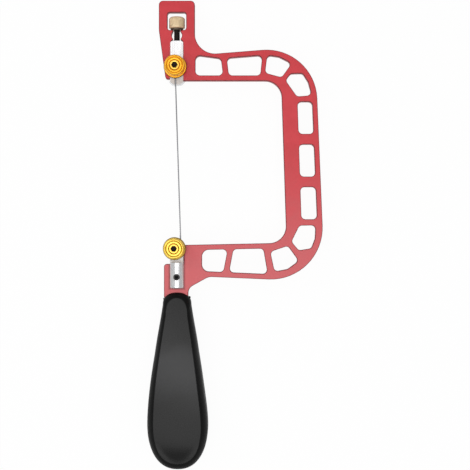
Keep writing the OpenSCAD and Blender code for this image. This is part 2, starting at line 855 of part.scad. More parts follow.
// The blade leans from clamp to clamp. Its teeth point down, towards the handle, and away from the spine.
module blade() {
    plain_lower = 1;
    plain_upper = 5;
    rise = upper_axis_z - lower_axis_z;
    lean = atan2(blade_x_upper - blade_x_lower, rise);
    span = norm([blade_x_upper - blade_x_lower, rise]);
    low = seat_z + post_flat_h + slide_travel + side_gap - lower_axis_z;
    high = span - screw_d / 2 - blade_gap;
    plain_low = washer_d / 2 + plain_lower;
    plain_high = span - washer_d / 2 - plain_upper;
    teeth = floor((plain_high - plain_low) / tooth_pitch);
    edge = -blade_w / 2;
    color(blade_steel)
        translate([blade_x_lower, blade_y - blade_t / 2, lower_axis_z])
            rotate([0, lean, 0])
                upright(blade_t)
                    polygon([
                        [-edge, low],
                        [edge, low],
                        [edge, plain_low],
                        for (i = [1:teeth]) each [
                            [edge + tooth_depth, plain_low + i * tooth_pitch],
                            [edge, plain_low + i * tooth_pitch]
                        ],
                        [edge, high],
                        [-edge, high]
                    ]);
}

// Lays the saw on its back, knobs up: its length along Y, its outline's middle over the origin
module in_place() {
    translate([-middle_x, -head_z / 2, handle_t / 2])
        rotate([-90, 0, 0])
            children();
}

in_place() frame_plate();
in_place() handle();
in_place() tension_slide();
in_place() tension_screw();
in_place() tension_nut();
in_place() tension_washer();
in_place() upper_clamp_washer();
in_place() upper_clamp_knob();
in_place() upper_clamp_screw();
in_place() lower_clamp_post();
in_place() lower_lock_screw();
in_place() lower_clamp_washer();
in_place() lower_clamp_knob();
in_place() lower_clamp_screw();
in_place() blade();
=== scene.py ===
"""Looks of a fret saw that lies on its back with its clamp knobs up.

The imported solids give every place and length: X runs from the blade to the spine, Y from the butt of the
handle to the head, Z up through the plate. Sizes of pieces are millimetres. Meshes, finishes and the studio
are in metres.
"""

import logging
import math
from abc import ABC, abstractmethod
from dataclasses import dataclass
from enum import Enum
from typing import Any, Sequence, Union

import bmesh
import bpy
import numpy as np
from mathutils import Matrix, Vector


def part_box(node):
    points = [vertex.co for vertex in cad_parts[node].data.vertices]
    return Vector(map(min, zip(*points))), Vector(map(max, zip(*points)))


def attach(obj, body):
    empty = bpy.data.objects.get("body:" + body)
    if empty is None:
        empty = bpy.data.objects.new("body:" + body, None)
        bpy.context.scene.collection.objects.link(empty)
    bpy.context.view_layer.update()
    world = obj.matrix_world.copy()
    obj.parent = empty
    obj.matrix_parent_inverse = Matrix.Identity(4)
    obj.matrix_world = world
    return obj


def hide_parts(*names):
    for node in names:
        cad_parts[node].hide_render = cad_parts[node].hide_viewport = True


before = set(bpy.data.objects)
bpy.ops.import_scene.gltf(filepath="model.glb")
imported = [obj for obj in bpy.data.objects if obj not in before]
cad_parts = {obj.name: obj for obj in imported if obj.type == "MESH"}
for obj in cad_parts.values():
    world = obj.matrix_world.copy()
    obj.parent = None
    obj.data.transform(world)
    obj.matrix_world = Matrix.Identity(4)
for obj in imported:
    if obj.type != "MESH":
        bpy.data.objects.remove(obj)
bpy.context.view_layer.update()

log = logging.getLogger("fret_saw")

MM = 0.001
MERGE_MM = 0.0005
TURN = 2.0 * math.pi
Colour = tuple[float, float, float]
Tone = Union[np.ndarray, float]


class Axis(Enum):
    """The coordinate that a turned piece's axis follows."""

    ALONG = 1
    UP = 2


class End(Enum):
    """The two blade clamps, by the name that their nodes and bodies begin with."""

    UPPER = "upper"
    LOWER = "lower"


# Meshes and curves


def node_box(node: str) -> tuple[np.ndarray, np.ndarray]:
    """Lowest and highest corners of a solid, in millimetres."""
    low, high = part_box(node)
    return np.array(low) / MM, np.array(high) / MM


def add_object(name: str, data: bpy.types.ID) -> bpy.types.Object:
    """Makes an object at the origin and links it to the scene.

    Args:
        name: The object's name.
        data: Its mesh, lamp or lens.

    Returns:
        The object.
    """
    made = bpy.data.objects.new(name, data)
    bpy.context.scene.collection.objects.link(made)
    return made


def mesh_points(mesh: bpy.types.Mesh) -> np.ndarray:
    """Reads the points of a mesh.

    Args:
        mesh: Any mesh.

    Returns:
        Its points in millimetres, one to a row.
    """
    place = np.empty(len(mesh.vertices) * 3)
    mesh.vertices.foreach_get("co", place)
    return place.reshape(-1, 3) / MM


def mark_points(mesh: bpy.types.Mesh, name: str, values: np.ndarray) -> None:
    """Writes one number for each point of a mesh, as an attribute of that name."""
    attribute = mesh.attributes.new(name, "FLOAT", "POINT")
    attribute.data.foreach_set("value", values.astype(np.float32))


def around(count: int) -> np.ndarray:
    """Evenly spaced angles round one turn, from zero."""
    return np.arange(count) * (TURN / count)


def hexagon(count: int) -> np.ndarray:
    """Distance to a hexagon's side, for corners at one, by angle: cosine 30 over cosine from its middle."""
    from_middle = np.mod(around(count), TURN / 6) - TURN / 12
    return math.cos(TURN / 12) / np.cos(from_middle)


def smooth_step(value: np.ndarray, start: float, stop: float) -> np.ndarray:
    """Runs from 0 at the start to 1 at the stop: three times the square of the share less twice its cube."""
    share = np.clip((value - start) / (stop - start), 0.0, 1.0)
    return share**2 * (3 - 2 * share)


def parabola(start: np.ndarray, corner: np.ndarray, stop: np.ndarray, share: np.ndarray) -> np.ndarray:
    """Points at shares of a parabola that leaves the start towards the corner and meets the stop from it."""
    return (1 - share) ** 2 * start + 2 * share * (1 - share) * corner + share**2 * stop


def rounded_profile(corners: Sequence[tuple[float, float]], reach: float, steps: int = 4) -> np.ndarray:
    """Rounds the inner corners of an open line.

    Each corner gives way to a parabola that leaves the line at the reach before the corner, or at nearly half
    of a shorter side, and joins it again as far past the corner.

    Args:
        corners: Points of the line, as radius and height.
        reach: How far before and after a corner its rounding starts and ends.
        steps: Steps along each rounding.

    Returns:
        The rounded line, one point to a row.
    """
    line = np.asarray(corners, float)
    before, corner, after = line[:-2], line[1:-1], line[2:]

    def towards(end: np.ndarray) -> np.ndarray:
        """The points that lie the reach from the corners towards their neighbours.

        Args:
            end: The neighbour of each corner.

        Returns:
            One point for each corner, as a column of one.
        """
        side = end - corner
        length = np.linalg.norm(side, axis=1, keepdims=True)
        return (corner + side * np.minimum(reach / length, 0.45))[:, None]

    share = np.linspace(0.0, 1.0, steps + 1)[None, :, None]
    arcs = parabola(towards(before), corner[:, None], towards(after), share)
    return np.concatenate([line[:1], arcs.reshape(-1, 2), line[-1:]])


@dataclass
class Surface:
    """Points and faces of one shape, in millimetres, before it becomes a mesh.

    The four-cornered faces come first in the mesh and the three-cornered ones after them. The tone of a point
    runs from 0 to 1, where its finish is deepest: painted shade on most pieces, the darker border on the
    handle.
    """

    points: np.ndarray
    quads: np.ndarray
    triangles: np.ndarray
    tone: np.ndarray

    @classmethod
    def grid(cls, points: np.ndarray, closed: bool = False, tone: Tone = 0.0) -> "Surface":
        """Joins a grid of points by four-cornered faces.

        Args:
            points: Rows by columns by three coordinates.
            closed: Whether the last column joins the first.
            tone: Tone of the points, by row, by column or of all.

        Returns:
            The surface, with one face between each four neighbours.
        """
        rows, columns = points.shape[:2]
        index = np.arange(rows * columns).reshape(rows, columns)
        if closed:
            index = np.concatenate([index, index[:, :1]], axis=1)
        corners = [index[:-1, :-1], index[:-1, 1:], index[1:, 1:], index[1:, :-1]]
        quads = np.stack(corners, axis=-1).reshape(-1, 4)
        tones = np.broadcast_to(tone, (rows, columns)).reshape(-1)
        return cls(points.reshape(-1, 3), quads, np.empty((0, 3), int), tones)

    @classmethod
    def turned(
        cls, radii: np.ndarray, heights: np.ndarray, foot: np.ndarray, axis: Axis, tone: Tone = 0.0
    ) -> "Surface":
        """Carries a profile round an axis: radius and height may differ from angle to angle.

        A point at angle a has the coordinates radius times cosine a, radius times sine a, and height, in a
        frame that stands at the foot with its third direction along the axis.

        Args:
            radii: Radius in each row of the profile, by angle.
            heights: Height in each row, by angle or one for the row.
            foot: Where height is zero on the axis.
            axis: The way that height runs.
            tone: Tone of each row of the profile, as a column, or of all.

        Returns:
            The surface, closed round the axis.
        """
        angle = around(radii.shape[1])
        first, second = radii * np.cos(angle), radii * np.sin(angle)
        third = np.broadcast_to(heights.reshape(len(radii), -1), radii.shape)
        parts = (first, second, third) if axis is Axis.UP else (first, third, -second)
        return cls.grid(np.stack(parts, axis=-1) + foot, closed=True, tone=tone)

    def __add__(self, other: "Surface") -> "Surface":
        """Puts two surfaces side by side in one.

        Args:
            other: The second surface.

        Returns:
            One surface with the points and faces of both.
        """
        count = len(self.points)
        return Surface(
            np.concatenate([self.points, other.points]),
            np.concatenate([self.quads, other.quads + count]),
            np.concatenate([self.triangles, other.triangles + count]),
            np.concatenate([self.tone, other.tone]),
        )

    def mirrored(self, axis: int, at: float) -> "Surface":
        """Reflects the surface in the plane where one coordinate has a value.

        Args:
            axis: Which coordinate is reflected.
            at: The value of that coordinate in the plane.

        Returns:
            The reflected surface, with its faces turned round to match.
        """
        points = self.points.copy()
        points[:, axis] = 2.0 * at - points[:, axis]
        return Surface(points, self.quads[:, ::-1], self.triangles[:, ::-1], self.tone)

    def build(self, name: str, crease_deg: float = 35.0) -> bpy.types.Object:
        """Makes the mesh object: doubles merged, faces outwards, smooth up to an angle.

        Args:
            name: The object's name.
            crease_deg: Edges that turn by more than this stay sharp.

        Returns:
            The object, at the origin and linked to the scene.
        """
        mesh = bpy.data.meshes.new(name)
        mesh.from_pydata((self.points * MM).tolist(), [], self.quads.tolist() + self.triangles.tolist())
        mark_points(mesh, "tone", self.tone)
        work = bmesh.new()
        work.from_mesh(mesh)
        bmesh.ops.remove_doubles(work, verts=work.verts, dist=MERGE_MM * MM)
        bmesh.ops.recalc_face_normals(work, faces=work.faces)
        work.to_mesh(mesh)
        work.free()
        mesh.set_sharp_from_angle(angle=math.radians(crease_deg))
        return add_object(name, mesh)


# Shader graphs


class Sock:
    """An output socket with arithmetic: each operator adds one Math node to the graph."""

    def __init__(self, graph: "Graph", socket: bpy.types.NodeSocket) -> None:
        """Keeps the graph and the socket."""
        self.graph = graph
        self.socket = socket

    def _math(self, operation: str, first: "Value", second: "Value") -> "Sock":
        """Adds a Math node on two values."""
        return self.graph.add("ShaderNodeMath", {"operation": operation}, {0: first, 1: second})

    def __add__(self, other: "Value") -> "Sock":
        """Sum."""
        return self._math("ADD", self, other)

    def __radd__(self, other: "Value") -> "Sock":
        """Sum, reflected."""
        return self._math("ADD", other, self)

    def __sub__(self, other: "Value") -> "Sock":
        """Difference."""
        return self._math("SUBTRACT", self, other)

    def __rsub__(self, other: "Value") -> "Sock":
        """Difference, reflected."""
        return self._math("SUBTRACT", other, self)

    def __mul__(self, other: "Value") -> "Sock":
        """Product."""
        return self._math("MULTIPLY", self, other)

    def __rmul__(self, other: "Value") -> "Sock":
        """Product, reflected."""
        return self._math("MULTIPLY", other, self)

    def larger(self, other: "Value") -> "Sock":
        """The larger of two values."""
        return self._math("MAXIMUM", self, other)

    def away(self, middle: float) -> "Sock":
        """Distance from a value."""
        return self._math("ABSOLUTE", self - middle, 0.0)

    def between(self, low: float, high: float) -> "Sock":
        """A smooth step that is 0 up to the low value and 1 from the high one."""
        inputs = {"Value": self, "From Min": low, "From Max": high}
        return self.graph.add("ShaderNodeMapRange", {"interpolation_type": "SMOOTHSTEP"}, inputs)


Value = Union[Sock, float, int, Sequence[float]]
Place = Union[int, str]


class Graph:
    """Nodes of one material or of the world."""

    def __init__(self, tree: bpy.types.NodeTree) -> None:
        """Starts from an empty tree."""
        self.tree = tree
        self.tree.nodes.clear()

    def add(
        self, kind: str, settings: dict[str, Any], sockets: dict[Place, Value], output: Place = 0
    ) -> Sock:
        """Adds any node.

        Args:
            kind: The node's type.
            settings: Its properties, set first; "stops" gives a ramp's places and colours.
            sockets: Values or links of its inputs, by name or place.
            output: The output that is wanted.

        Returns:
            That output.
        """
        node = self.tree.nodes.new(kind)
        stops = settings.get("stops")
        for key, value in settings.items():
            if key != "stops":
                setattr(node, key, value)
        if stops:
            elements = node.color_ramp.elements
            while len(elements) < len(stops):
                elements.new(1.0)
            for element, (place, colour) in zip(elements, stops):
                element.position, element.color = place, (*colour, 1.0)
        for key, value in sockets.items():
            if isinstance(value, Sock):
                self.tree.links.new(value.socket, node.inputs[key])
            else:
                node.inputs[key].default_value = value
        return Sock(self, node.outputs[output])

    def position(self) -> Sock:
        """Object coordinates, in metres."""
        return self.add("ShaderNodeTexCoord", {}, {}, "Object")

    def stretched(self, scale: Sequence[float]) -> Sock:
        """Object coordinates with each direction scaled by itself."""
        inputs = {"Vector": self.position(), "Scale": scale}
        return self.add("ShaderNodeMapping", {"vector_type": "POINT"}, inputs)

    def coordinate(self, place: Sock, name: str) -> Sock:
        """One coordinate of a place, by its letter."""
        return self.add("ShaderNodeSeparateXYZ", {}, {0: place}, name)

    def attribute(self, name: str) -> Sock:
        """A number that the piece's own points carry."""
        return self.add("ShaderNodeAttribute", {"attribute_name": name}, {}, "Fac")

    def noise(self, place: Sock, scale: float, detail: float = 3.0) -> Sock:
        """Soft noise from 0 to 1, of so many cells to the metre."""
        return self.add("ShaderNodeTexNoise", {}, {"Vector": place, "Scale": scale, "Detail": detail})

    def blend(self, factor: Value, first: Union[Sock, Colour], second: Union[Sock, Colour]) -> Sock:
        """Mixes two colours.

        Args:
            factor: Share of the second colour.
            first: A colour or a colour socket.
            second: Another.

        Returns:
            The mixed colour.
        """
        first, second = (end if isinstance(end, Sock) else (*end, 1.0) for end in (first, second))
        return self.add("ShaderNodeMix", {"data_type": "RGBA"}, {0: factor, 6: first, 7: second}, 2)

    def bump(self, height: Sock, depth_mm: float) -> Sock:
        """A normal that follows a height from 0 to 1, of that depth."""
        return self.add("ShaderNodeBump", {}, {"Height": height, "Distance": depth_mm * MM, "Strength": 1.0})

    def close(self, shader: Sock, kind: str = "ShaderNodeOutputMaterial") -> None:
        """Links a shader to the output of the material or of the world."""
        self.tree.links.new(shader.socket, self.tree.nodes.new(kind).inputs["Surface"])


@dataclass(frozen=True)
class Finish(ABC):
    """A finish: its slot in the record, its colours, the colour of its deep tone, mostly painted shade, and
    how it shines.
    """

    slot: str
    light: Colour
    dark: Colour
    deep: Colour
    roughness: float
    metallic: float
    specular: float = 0.5
    deep_specular: float = 0.1
    deep_roughness: float = 0.45
    kind: str = "finish"

    @abstractmethod
    def paint(self, graph: Graph) -> dict[str, Value]:
        """Shader inputs that vary over the surface.

        Args:
            graph: The material's graph.

        Returns:
            Inputs of the principled shader, by name.
        """

    def material(self) -> bpy.types.Material:
        """Makes the material once: the painted face, mixed with the deep colour by the tone of the points.

        Returns:
            The finish as a material.
        """
        name = self.slot + "_" + self.kind
        made = bpy.data.materials.get(name)
        if made:
            return made
        made = bpy.data.materials.new(name)
        made.use_nodes = True
        graph = Graph(made.node_tree)
        shine = {"Metallic": self.metallic, "Specular IOR Level": self.specular}
        face = graph.add("ShaderNodeBsdfPrincipled", {}, {**shine, **self.paint(graph)})
        dull = {"Roughness": self.deep_roughness, "Specular IOR Level": self.deep_specular}
        deep = graph.add("ShaderNodeBsdfPrincipled", {}, {"Base Color": (*self.deep, 1.0), **dull})
        graph.close(graph.add("ShaderNodeMixShader", {}, {0: graph.attribute("tone"), 1: face, 2: deep}))
        return made

    def dress(self, piece: bpy.types.Object) -> None:
        """Puts the finish on every face of a piece.

        Args:
            piece: A new piece.
        """
        piece.data.materials.clear()
        piece.data.materials.append(self.material())

    def dress_solid(self, node: str) -> None:
        """Puts the finish on a carried-over solid, in its own slots."""
        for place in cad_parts[node].material_slots:
            place.material = self.material()


@dataclass(frozen=True)
class AnodisedPlate(Finish):
    """Dyed and sealed plate: blasted grain, dye clouds, a few pinholes, painted sheen that is partly wear,
    painted shade by the post.
    """

    grain_per_m: float = 2600.0
    cloud_per_m: float = 160.0
    speck_per_m: float = 55.0
    speck_edge: tuple[float, float] = (0.012, 0.03)
    pinhole: Colour = (0.16, 0.03, 0.03)
    pinhole_most: float = 0.5
    sheen_pale: Colour = (0.6, 0.13, 0.14)
    sheen_most: float = 0.7
    sheen_from: float = 0.06
    sheen_to: float = -0.03
    post_shade_at: tuple[float, float] = (-0.03693, -0.0204)
    post_shade_half: tuple[float, float] = (0.0044, 0.0137)
    post_shade_reach: float = 0.0016
    post_shade_most: float = 0.75

    def post_shade(self, graph: Graph, place: Sock) -> Sock:
        """Painted shade along the foot of the post, for its shadow: one at the sides of a rectangle, zero
        from the reach on.

        Args:
            graph: The material's graph.
            place: Object coordinates.

        Returns:
            How much painted shade there is.
        """
        across, along = (
            graph.coordinate(place, name).away(middle) - half
            for name, middle, half in zip("XY", self.post_shade_at, self.post_shade_half)
        )
        return 1.0 - across.larger(along).between(0.0, self.post_shade_reach)

    def paint(self, graph: Graph) -> dict[str, Value]:
        """Clouded dye with painted sheen towards the handle, partly wear, over a grain that also roughens the
        gloss.

        Args:
            graph: The material's graph.

        Returns:
            Inputs of the principled shader, by name.
        """
        place = graph.position()
        cloud = graph.noise(place, self.cloud_per_m, 4.0)
        grain = graph.noise(place, self.grain_per_m, 2.0)
        inputs = {"Vector": place, "Scale": self.speck_per_m}
        speck = graph.add("ShaderNodeTexVoronoi", {}, inputs, "Distance")
        pinhole = 1.0 - speck.between(*self.speck_edge)
        dye = graph.blend((cloud * 0.7 + grain * 0.3).between(0.3, 0.7), self.dark, self.light)
        along = graph.coordinate(place, "Y")
        # Painted sheen that is partly wear: paler dye towards the handle stands in for the light reflected
        # there.
        sheen_and_wear = 1.0 - (along + 0.03 * (cloud - 0.5)).between(self.sheen_to, self.sheen_from)
        dye = graph.blend(sheen_and_wear * self.sheen_most, dye, self.sheen_pale)
        # Painted shade, dark red, where the post's shadow falls on the plate.
        dye = graph.blend(self.post_shade(graph, place) * self.post_shade_most, dye, self.deep)
        return {
            "Base Color": graph.blend(pinhole * self.pinhole_most, dye, self.pinhole),
            "Roughness": self.roughness + 0.1 * (grain - 0.5) + 0.08 * (cloud - 0.5),
            "Normal": graph.bump(grain, 0.006),
        }


@dataclass(frozen=True)
class SatinGrip(Finish):
    """Moulded plastic: a fine spark grain, with a painted sheen in soft patches along the middle of the grip.
    """

    grain_per_m: float = 3200.0
    sheen_per_m: float = 45.0
    sheen_starts: tuple[float, float] = (-0.108, -0.086)
    sheen_ends: tuple[float, float] = (-0.08, -0.067)

    def paint(self, graph: Graph) -> dict[str, Value]:
        """Near-black, lighter in a band of painted sheen, with patches that change the gloss more.

        Args:
            graph: The material's graph.

        Returns:
            Inputs of the principled shader, by name.
        """
        place = graph.position()
        grain = graph.noise(place, self.grain_per_m, 1.0)
        patch = graph.noise(place, self.sheen_per_m, 3.0)
        along = graph.coordinate(place, "Y") + 0.012 * (patch - 0.5)
        # Painted sheen: a band of lighter colour along the grip, where the light is reflected most.
        sheen_band = along.between(*self.sheen_starts) * (1.0 - along.between(*self.sheen_ends))
        return {
            "Base Color": graph.blend(sheen_band * (0.7 + 0.6 * patch), self.dark, self.light),
            "Roughness": self.roughness + 0.12 * (patch - 0.5) + 0.06 * (grain - 0.5),
            "Normal": graph.bump(grain, 0.004),
        }


@dataclass(frozen=True)
class DrawnBar(Finish):
    """Bare drawn bar: fine lines along Y, some lighter and some darker."""

    lines_per_m: float = 2600.0
    run_per_m: float = 25.0
    smear_per_m: float = 300.0

    def paint(self, graph: Graph) -> dict[str, Value]:
        """Lines from noise that is stretched along the bar, with a faint smear over the gloss.

        Args:
            graph: The material's graph.

        Returns:
            Inputs of the principled shader, by name.
        """
        lines = graph.noise(graph.stretched((self.lines_per_m, self.run_per_m, self.lines_per_m)), 1.0, 2.0)
        smear = graph.noise(graph.position(), self.smear_per_m)
        return {
            "Base Color": graph.blend(lines.between(0.3, 0.7), self.dark, self.light),
            "Roughness": self.roughness + 0.14 * (lines - 0.5) + 0.08 * (smear - 0.5),
            "Normal": graph.bump(lines, 0.002),
        }


@dataclass(frozen=True)
class TurnedMetal(Finish):
    """Lathe-turned and dyed or bare metal: fine tool lines by the distance from the piece's own axis."""

    line_mm: float = 0.12
    cloud_per_m: float = 500.0

    def paint(self, graph: Graph) -> dict[str, Value]:
        """Tool lines from noise over the radius, with a faint cloud over all.

        Args:
            graph: The material's graph.

        Returns:
            Inputs of the principled shader, by name.
        """
        inputs = {"W": graph.attribute("turn_radius"), "Scale": 1.0 / self.line_mm, "Detail": 2.0}
        lines = graph.add("ShaderNodeTexNoise", {"noise_dimensions": "1D"}, inputs)
        cloud = graph.noise(graph.position(), self.cloud_per_m)
        return {
            "Base Color": graph.blend((lines * 0.6 + cloud * 0.4).between(0.3, 0.7), self.dark, self.light),
            "Roughness": self.roughness + 0.12 * (lines - 0.5) + 0.06 * (cloud - 0.5),
            "Normal": graph.bump(lines, 0.006),
        }


# The plate's deep colour is painted shade, for its edges and for the foot of the post.
PLATE_RED = AnodisedPlate(
    "red_plate", (0.62, 0.037, 0.05), (0.55, 0.028, 0.038), (0.16, 0.018, 0.022), 0.36, 0.0, 0.35
)
# The grip's light colour is only used for its painted sheen.
GRIP_BLACK = SatinGrip(
    "black_grip", (0.026, 0.026, 0.027), (0.006, 0.006, 0.006), (0.006, 0.006, 0.006), 0.27, 0.0, 0.25, 0.07
)
# The bar's deep colour is painted shade, warm for the gold knob reflected in it.
BAR_BARE = DrawnBar("bar_aluminium", (0.82, 0.82, 0.83), (0.63, 0.63, 0.64), (0.63, 0.59, 0.56), 0.26, 0.65)
BLADE_GREY = DrawnBar("blade_steel", (0.2, 0.2, 0.21), (0.1, 0.1, 0.105), (0.1, 0.1, 0.1), 0.34, 0.6)
SCREW_BLACK = TurnedMetal(
    "black_steel", (0.03, 0.026, 0.025), (0.014, 0.012, 0.012), (0.004, 0.004, 0.004), 0.42, 0.5
)
NUT_BRASS = TurnedMetal("nut_brass", (0.82, 0.64, 0.4), (0.66, 0.5, 0.3), (0.2, 0.13, 0.06), 0.36, 0.4)
# A steel washer coloured dark bronze: painted shade for the nut's shadow over it.
WASHER_STEEL_SHADED = TurnedMetal(
    "washer_steel", (0.17, 0.13, 0.1), (0.1, 0.075, 0.055), (0.05, 0.04, 0.03), 0.38, 0.85
)
# Its deep colour is painted shade in the knob's groove and at the washer's edge.
CLAMP_GOLD = TurnedMetal(
    "gold_aluminium", (0.95, 0.68, 0.13), (0.84, 0.55, 0.07), (0.1, 0.05, 0.004), 0.26, 0.9
)
# A shaded copy of the clamp gold for the upper clamp: painted darker and more orange for the weaker light
# there.
CLAMP_GOLD_SHADED = TurnedMetal(
    "gold_aluminium", (0.92, 0.47, 0.04), (0.8, 0.38, 0.02), (0.08, 0.03, 0.002), 0.3, 0.85, kind="shaded"
)
# Its deep colour is painted shade inside the clamp screws' sockets.
SOCKET_GOLD = TurnedMetal(
    "gold_aluminium", (0.94, 0.6, 0.11), (0.83, 0.48, 0.06), (0.02, 0.012, 0.006), 0.28, 0.85, kind="socket"
)


def settle(piece: bpy.types.Object, finish: Finish, body: str, *nodes: str) -> bpy.types.Object:
    """Dresses a new piece, lets it ride on its body and stand for its solids.

    Args:
        piece: The finished mesh object.
        finish: What it is dressed with.
        body: The body that it moves with.
        nodes: The solids that it stands for.

    Returns:
        The same piece.
    """
    finish.dress(piece)
    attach(piece, body)
    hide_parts(*nodes)
    return piece


# Turned pieces


@dataclass
class Turning:
    """A turned piece that stands on the low end of its solid, with its axis along Y or Z."""

    name: str
    node: str
    body: str
    finish: Finish
    axis: Axis

    def size(self) -> tuple[float, float]:
        """Outer radius of the solid, and its length along the axis."""
        low, high = node_box(self.node)
        return (high[0] - low[0]) / 2, high[self.axis.value] - low[self.axis.value]

    def turn(
        self, radii: np.ndarray, heights: np.ndarray, tone: Tone = 0.0, crease_deg: float = 35.0
    ) -> bpy.types.Object:
        """Turns the profile, writes each point's distance from the axis for the tool lines, and settles it.

        Args:
            radii: Radius in each row of the profile, by angle.
            heights: Height in each row, by angle or one for the row.
            tone: Tone of each row of the profile, as a column, or of all.
            crease_deg: Edges that turn by more than this stay sharp.

        Returns:
            The finished piece.
        """
        low, high = node_box(self.node)
        foot = (low + high) / 2
        foot[self.axis.value] = low[self.axis.value]
        piece = Surface.turned(radii, heights, foot, self.axis, tone).build(self.name, crease_deg)
        across = np.delete(mesh_points(piece.data) - foot, self.axis.value, axis=1)
        mark_points(piece.data, "turn_radius", np.linalg.norm(across, axis=1))
        return settle(piece, self.finish, self.body, self.node)


@dataclass
class FlatRing(Turning):
    """A flat ring with rounded edges, with painted shade at its outer edge over a share of the rounding."""

    bore: float
    reach: float
    edge_shade: float = 0.0
    edge_share: float = 1.0
    sides: int = 96

    def build(self) -> bpy.types.Object:
        """Carries a rounded rectangle round the axis.

        Returns:
            The finished ring.
        """
        outer, thick = self.size()
        start = (self.bore, thick / 2)
        corners = [start, (self.bore, 0.0), (outer, 0.0), (outer, thick), (self.bore, thick), start]
        profile = rounded_profile(corners, self.reach)
        radii = np.broadcast_to(profile[:, :1], (len(profile), self.sides))
        # Painted shade at the outer edge, for the shadow round the knob.
        tone = self.edge_shade * (profile[:, :1] > outer - self.edge_share * self.reach)
        return self.turn(radii, profile[:, 1:], tone)


@dataclass
class SocketScrew(Turning):
    """A screw that stands on its end, with a hexagon socket in its head, or in its top if it has none."""

    shank_r: float
    socket_af: float
    socket_depth: float
    head: float = math.inf
    brim: float = 0.3
    tip: float = 0.3
    edge: float = 0.15
    land: float = 0.35
    lead: float = 0.16
    lead_step: float = 0.04
    drill_point: float = 0.5
    sides: int = 96

    def build(self) -> bpy.types.Object:
        """Turns shank and head, then lets the rows of the socket follow a hexagon instead of a circle.

        Returns:
            The finished screw, with painted shade inside its socket.
        """
        outer, tall = self.size()
        corner = self.socket_af / 2 / math.cos(TURN / 12)
        outside = [(0.0, 0.0), (self.shank_r - self.tip, 0.0), (self.shank_r, self.tip)]
        if self.head < tall:
            outside += [(self.shank_r, tall - self.head), (outer, tall - self.head)]
        outside += [(outer, tall - self.brim), (outer - self.brim, tall), (corner + self.land, tall)]
        profile = rounded_profile(outside, self.edge)
        floor = tall - self.socket_depth
        socket = [
            (corner + self.lead, tall), (corner + self.lead_step, tall - self.lead_step),
            (corner, tall - self.lead), (corner, floor), (0.0, floor - self.drill_point),
        ]
        rows = np.concatenate([profile, np.array(socket)])
        six_sided = np.concatenate([np.zeros(len(profile)), np.ones(len(socket))])[:, None]
        radii = rows[:, :1] * (1 - six_sided + six_sided * hexagon(self.sides))
        # Painted shade inside the socket, below its lead.
        at_top = (rows[:, 1:] > tall - self.lead / 2) * 1.0
        return self.turn(radii, rows[:, 1:], np.maximum(six_sided - at_top, 0.0))


# Sub-assemblies


